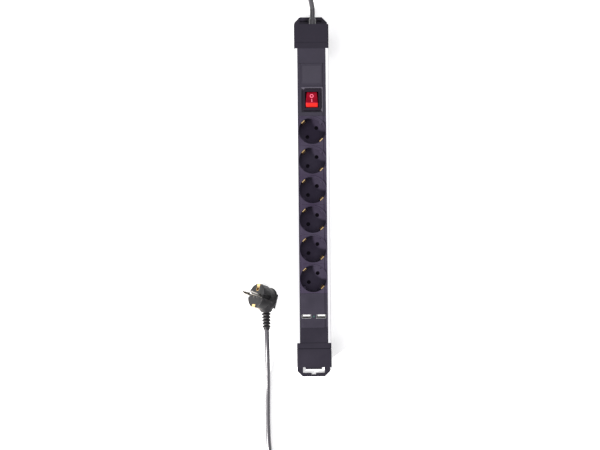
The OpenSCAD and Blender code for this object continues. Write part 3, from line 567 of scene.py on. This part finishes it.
def makeMarks():
    # a ring and a bar, standing a little proud of the cap
    size = rockerShape
    mesh = bmesh.new()
    rounds, sides = size["ringRounds"], size["ringSides"]
    rings = []
    for k in range(rounds):
        a = math.tau * k / rounds
        row = []
        for i in range(sides):
            b = math.tau * i / sides
            radius = size["ringRadius"] + size["ringThick"] * math.cos(b)
            along = size["ringAt"] + radius * math.sin(a)
            row.append(mesh.verts.new((radius * math.cos(a), along, topHeightAt(along) + size["markLift"]
                                       + size["ringHigh"] * math.sin(b))))
        rings.append(row)
    for k in range(rounds):
        for i in range(sides):
            mesh.faces.new((rings[k][i], rings[(k + 1) % rounds][i],
                            rings[(k + 1) % rounds][(i + 1) % sides], rings[k][(i + 1) % sides]))
    across, long = size["barSize"]
    sides, taper = size["barSides"], size["barTaper"]
    outline = [(across * math.cos(a), size["barAt"] + math.copysign(long - across, math.sin(a))
                + across * math.sin(a)) for a in (math.tau * (i + 0.5) / sides for i in range(sides))]
    low = [mesh.verts.new((x, y, topHeightAt(y) - size["barSunk"])) for x, y in outline]
    high = [mesh.verts.new((x * taper, y, topHeightAt(y) + size["markLift"] + size["barHigh"]))
            for x, y in outline]
    for i in range(sides):
        j = (i + 1) % sides
        mesh.faces.new((low[i], low[j], high[j], high[i]))
    mesh.faces.new(high)
    mesh.faces.new(low[::-1])
    bmesh.ops.recalc_face_normals(mesh, faces=mesh.faces)
    mesh.transform(rockerPlace())
    return dress(asPiece("rockerMarks", mesh), markPaint, "rocker")


makeRocker()
makeMarks()
print("rocker and its marks made")


def turned(name, profile, at, axis, sides=48):
    # a closed round piece: profile of (radius, along the axis), from one end to the other
    mesh = bmesh.new()
    turn = Vector((0, 0, 1)).rotation_difference(Vector(axis)).to_matrix()
    rows = [[mesh.verts.new(Vector(at) + turn @ Vector((radius * math.cos(a), radius * math.sin(a), along)))
             for a in (math.tau * i / sides for i in range(sides))]
            for radius, along in profile]
    for one, two in zip(rows, rows[1:]):
        for i in range(sides):
            j = (i + 1) % sides
            mesh.faces.new((one[i], one[j], two[j], two[i]))
    mesh.faces.new(rows[0][::-1])
    mesh.faces.new(rows[-1])
    bmesh.ops.recalc_face_normals(mesh, faces=mesh.faces)
    return asPiece(name, mesh)


decimal, whole, vector = "NodeSocketFloat", "NodeSocketInt", "NodeSocketVector"


def newTree(name, inputs):
    tree = bpy.data.node_groups.new(name, "GeometryNodeTree")
    tree.interface.new_socket("Geometry", in_out="OUTPUT", socket_type="NodeSocketGeometry")
    for label, kind in inputs:
        tree.interface.new_socket(label, in_out="INPUT", socket_type=kind)
    return tree, tree.nodes.new("NodeGroupInput"), tree.nodes.new("NodeGroupOutput")


def closeTree(tree, given, made, instances):
    # plain geometry in the material given
    real = addNode(tree, "GeometryNodeRealizeInstances", {0: instances})
    skin = addNode(tree, "GeometryNodeSetMaterial", {
        "Geometry": real.outputs[0], "Material": given.outputs["Material"]})
    tree.links.new(skin.outputs[0], made.inputs[0])
    return tree


def grown(name, tree, values, sharp=35):
    # runs a node tree on an empty piece and keeps the plain mesh
    piece = place(name, bpy.data.meshes.new(name))
    growth = piece.modifiers.new(tree.name, "NODES")
    growth.node_group = tree
    for item in tree.interface.items_tree:
        if item.in_out == "INPUT" and item.name in values:
            growth[item.identifier] = values[item.name]
    baked(piece)
    smooth(piece.data, sharp)
    return piece


def makeContactTree():
    # a row of flat contacts, one row for each port
    tree, given, made = newTree("portContacts", [
        ("Count", whole), ("Pitch", decimal), ("Port Spacing", decimal), ("First", vector),
        ("Size", vector), ("Material", "NodeSocketMaterial")])
    pitch = addNode(tree, "ShaderNodeCombineXYZ", {"X": given.outputs["Pitch"]})
    row = addNode(tree, "GeometryNodeMeshLine", {
        "Count": given.outputs["Count"], "Start Location": given.outputs["First"],
        "Offset": pitch.outputs[0]}, mode="OFFSET")
    pad = addNode(tree, "GeometryNodeMeshCube", {"Size": given.outputs["Size"]})
    pads = addNode(tree, "GeometryNodeInstanceOnPoints", {
        "Points": row.outputs[0], "Instance": pad.outputs[0]})
    apart = addNode(tree, "ShaderNodeCombineXYZ", {"X": given.outputs["Port Spacing"]})
    ports = addNode(tree, "GeometryNodeMeshLine", {"Count": 2, "Offset": apart.outputs[0]}, mode="OFFSET")
    both = addNode(tree, "GeometryNodeInstanceOnPoints", {
        "Points": ports.outputs[0], "Instance": pads.outputs[0]})
    return closeTree(tree, given, made, both.outputs[0])


portSizes = {"contacts": 4, "pitch": 0.0023, "pad": (0.0011, 0.00012, 0.0062), "drop": 0.0014,
             "proud": 0.0003}


def makePortContacts():
    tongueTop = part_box("usb_tongues")[1].z
    left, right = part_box("usb_shell_left"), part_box("usb_shell_right")
    centres = [(box[0] + box[1]) / 2 for box in (left, right)]
    row = portSizes["pitch"] * (portSizes["contacts"] - 1)
    tongueFace = centres[0].y + portSizes["proud"]
    middle = tongueTop - portSizes["drop"] - portSizes["pad"][2] / 2
    pads = grown("portContacts", makeContactTree(), {
        "Count": portSizes["contacts"], "Pitch": portSizes["pitch"],
        "Port Spacing": centres[1].x - centres[0].x,
        "First": Vector((centres[0].x - row / 2, tongueFace, middle)),
        "Size": portSizes["pad"], "Material": finishes["contact_brass"]})
    dress(pads, finishes["contact_brass"], "usb_tongues")


def makeRibTree():
    # rings along a line, each a little smaller than the one before
    tree, given, made = newTree("reliefRings", [
        ("Count", whole), ("Start", vector), ("Step", vector), ("Axis", vector), ("Radius", decimal),
        ("Thickness", decimal), ("Taper", decimal), ("Material", "NodeSocketMaterial")])
    line = addNode(tree, "GeometryNodeMeshLine", {
        "Count": given.outputs["Count"], "Start Location": given.outputs["Start"],
        "Offset": given.outputs["Step"]}, mode="OFFSET")
    ring = addNode(tree, "GeometryNodeCurvePrimitiveCircle", {
        "Resolution": 40, "Radius": given.outputs["Radius"]})
    bead = addNode(tree, "GeometryNodeCurvePrimitiveCircle", {
        "Resolution": 10, "Radius": given.outputs["Thickness"]})
    band = addNode(tree, "GeometryNodeCurveToMesh", {
        "Curve": ring.outputs[0], "Profile Curve": bead.outputs[0]})
    facing = addNode(tree, "FunctionNodeAlignRotationToVector", {"Vector": given.outputs["Axis"]}, axis="Z")
    index = addNode(tree, "GeometryNodeInputIndex")
    less = addNode(tree, "ShaderNodeMath", {0: index.outputs[0], 1: given.outputs["Taper"]},
                   operation="MULTIPLY")
    scale = addNode(tree, "ShaderNodeMath", {0: 1.0, 1: less.outputs[0]}, operation="SUBTRACT")
    rings = addNode(tree, "GeometryNodeInstanceOnPoints", {
        "Points": line.outputs[0], "Instance": band.outputs[0], "Rotation": facing.outputs[0],
        "Scale": scale.outputs[0]})
    return closeTree(tree, given, made, rings.outputs[0])


plugShape = {
    "reliefEnd": (-0.07047, -0.19878, 0.01913), "exitAxis": (0.0157, -0.9998, 0.0131), "reliefLength": 0.033,
    # radius and place along the sleeve, from the plug to the cord
    "sleeve": [(0.0039, 0), (0.0056, 0), (0.0046, 0.005), (0.0043, 0.028), (0.0050, 0.0305),
               (0.0049, 0.0322), (0.0043, 0.0330), (0.00385, 0.0330)],
    "ribs": 6, "firstRib": 0.0055, "ribStep": 0.0046, "ribRadius": 0.0055, "ribThickness": 0.00165,
    "ribTaper": 0.02, "voxel": 0.00042, "smoothing": 0.5, "softening": 5,
}


def makePlug():
    shape = plugShape
    axis = Vector(shape["exitAxis"]).normalized()
    start = Vector(shape["reliefEnd"]) - axis * shape["reliefLength"]
    sleeve = turned("reliefSleeve", shape["sleeve"], start, axis)
    dress(sleeve, finishes["plug_rubber"], "plug_strain_relief")
    first = start + axis * shape["firstRib"]
    ribs = grown("reliefRibs", makeRibTree(), {
        "Count": shape["ribs"], "Start": first, "Step": axis * shape["ribStep"], "Axis": axis,
        "Radius": shape["ribRadius"], "Thickness": shape["ribThickness"], "Taper": shape["ribTaper"],
        "Material": finishes["plug_rubber"]})
    dress(ribs, finishes["plug_rubber"], "plug_strain_relief")
    # moulded body: the solid's form with soft, flowing edges
    mesh = bmesh.new()
    mesh.from_mesh(nodes["plug_body"].data)
    bmesh.ops.remove_doubles(mesh, verts=mesh.verts, dist=weldDistance)
    body = asPiece("plugBody", mesh)
    melt = body.modifiers.new("melt", "REMESH")
    melt.mode = "VOXEL"
    melt.voxel_size = shape["voxel"]
    soft = body.modifiers.new("soft", "SMOOTH")
    soft.factor = shape["smoothing"]
    soft.iterations = shape["softening"]
    baked(body)
    smooth(body.data)
    dress(body, finishes["plug_rubber"], "plug_body")
    return [body, sleeve, ribs]


plugPieces = makePlug()
makePortContacts()
print("plug and port contacts made")
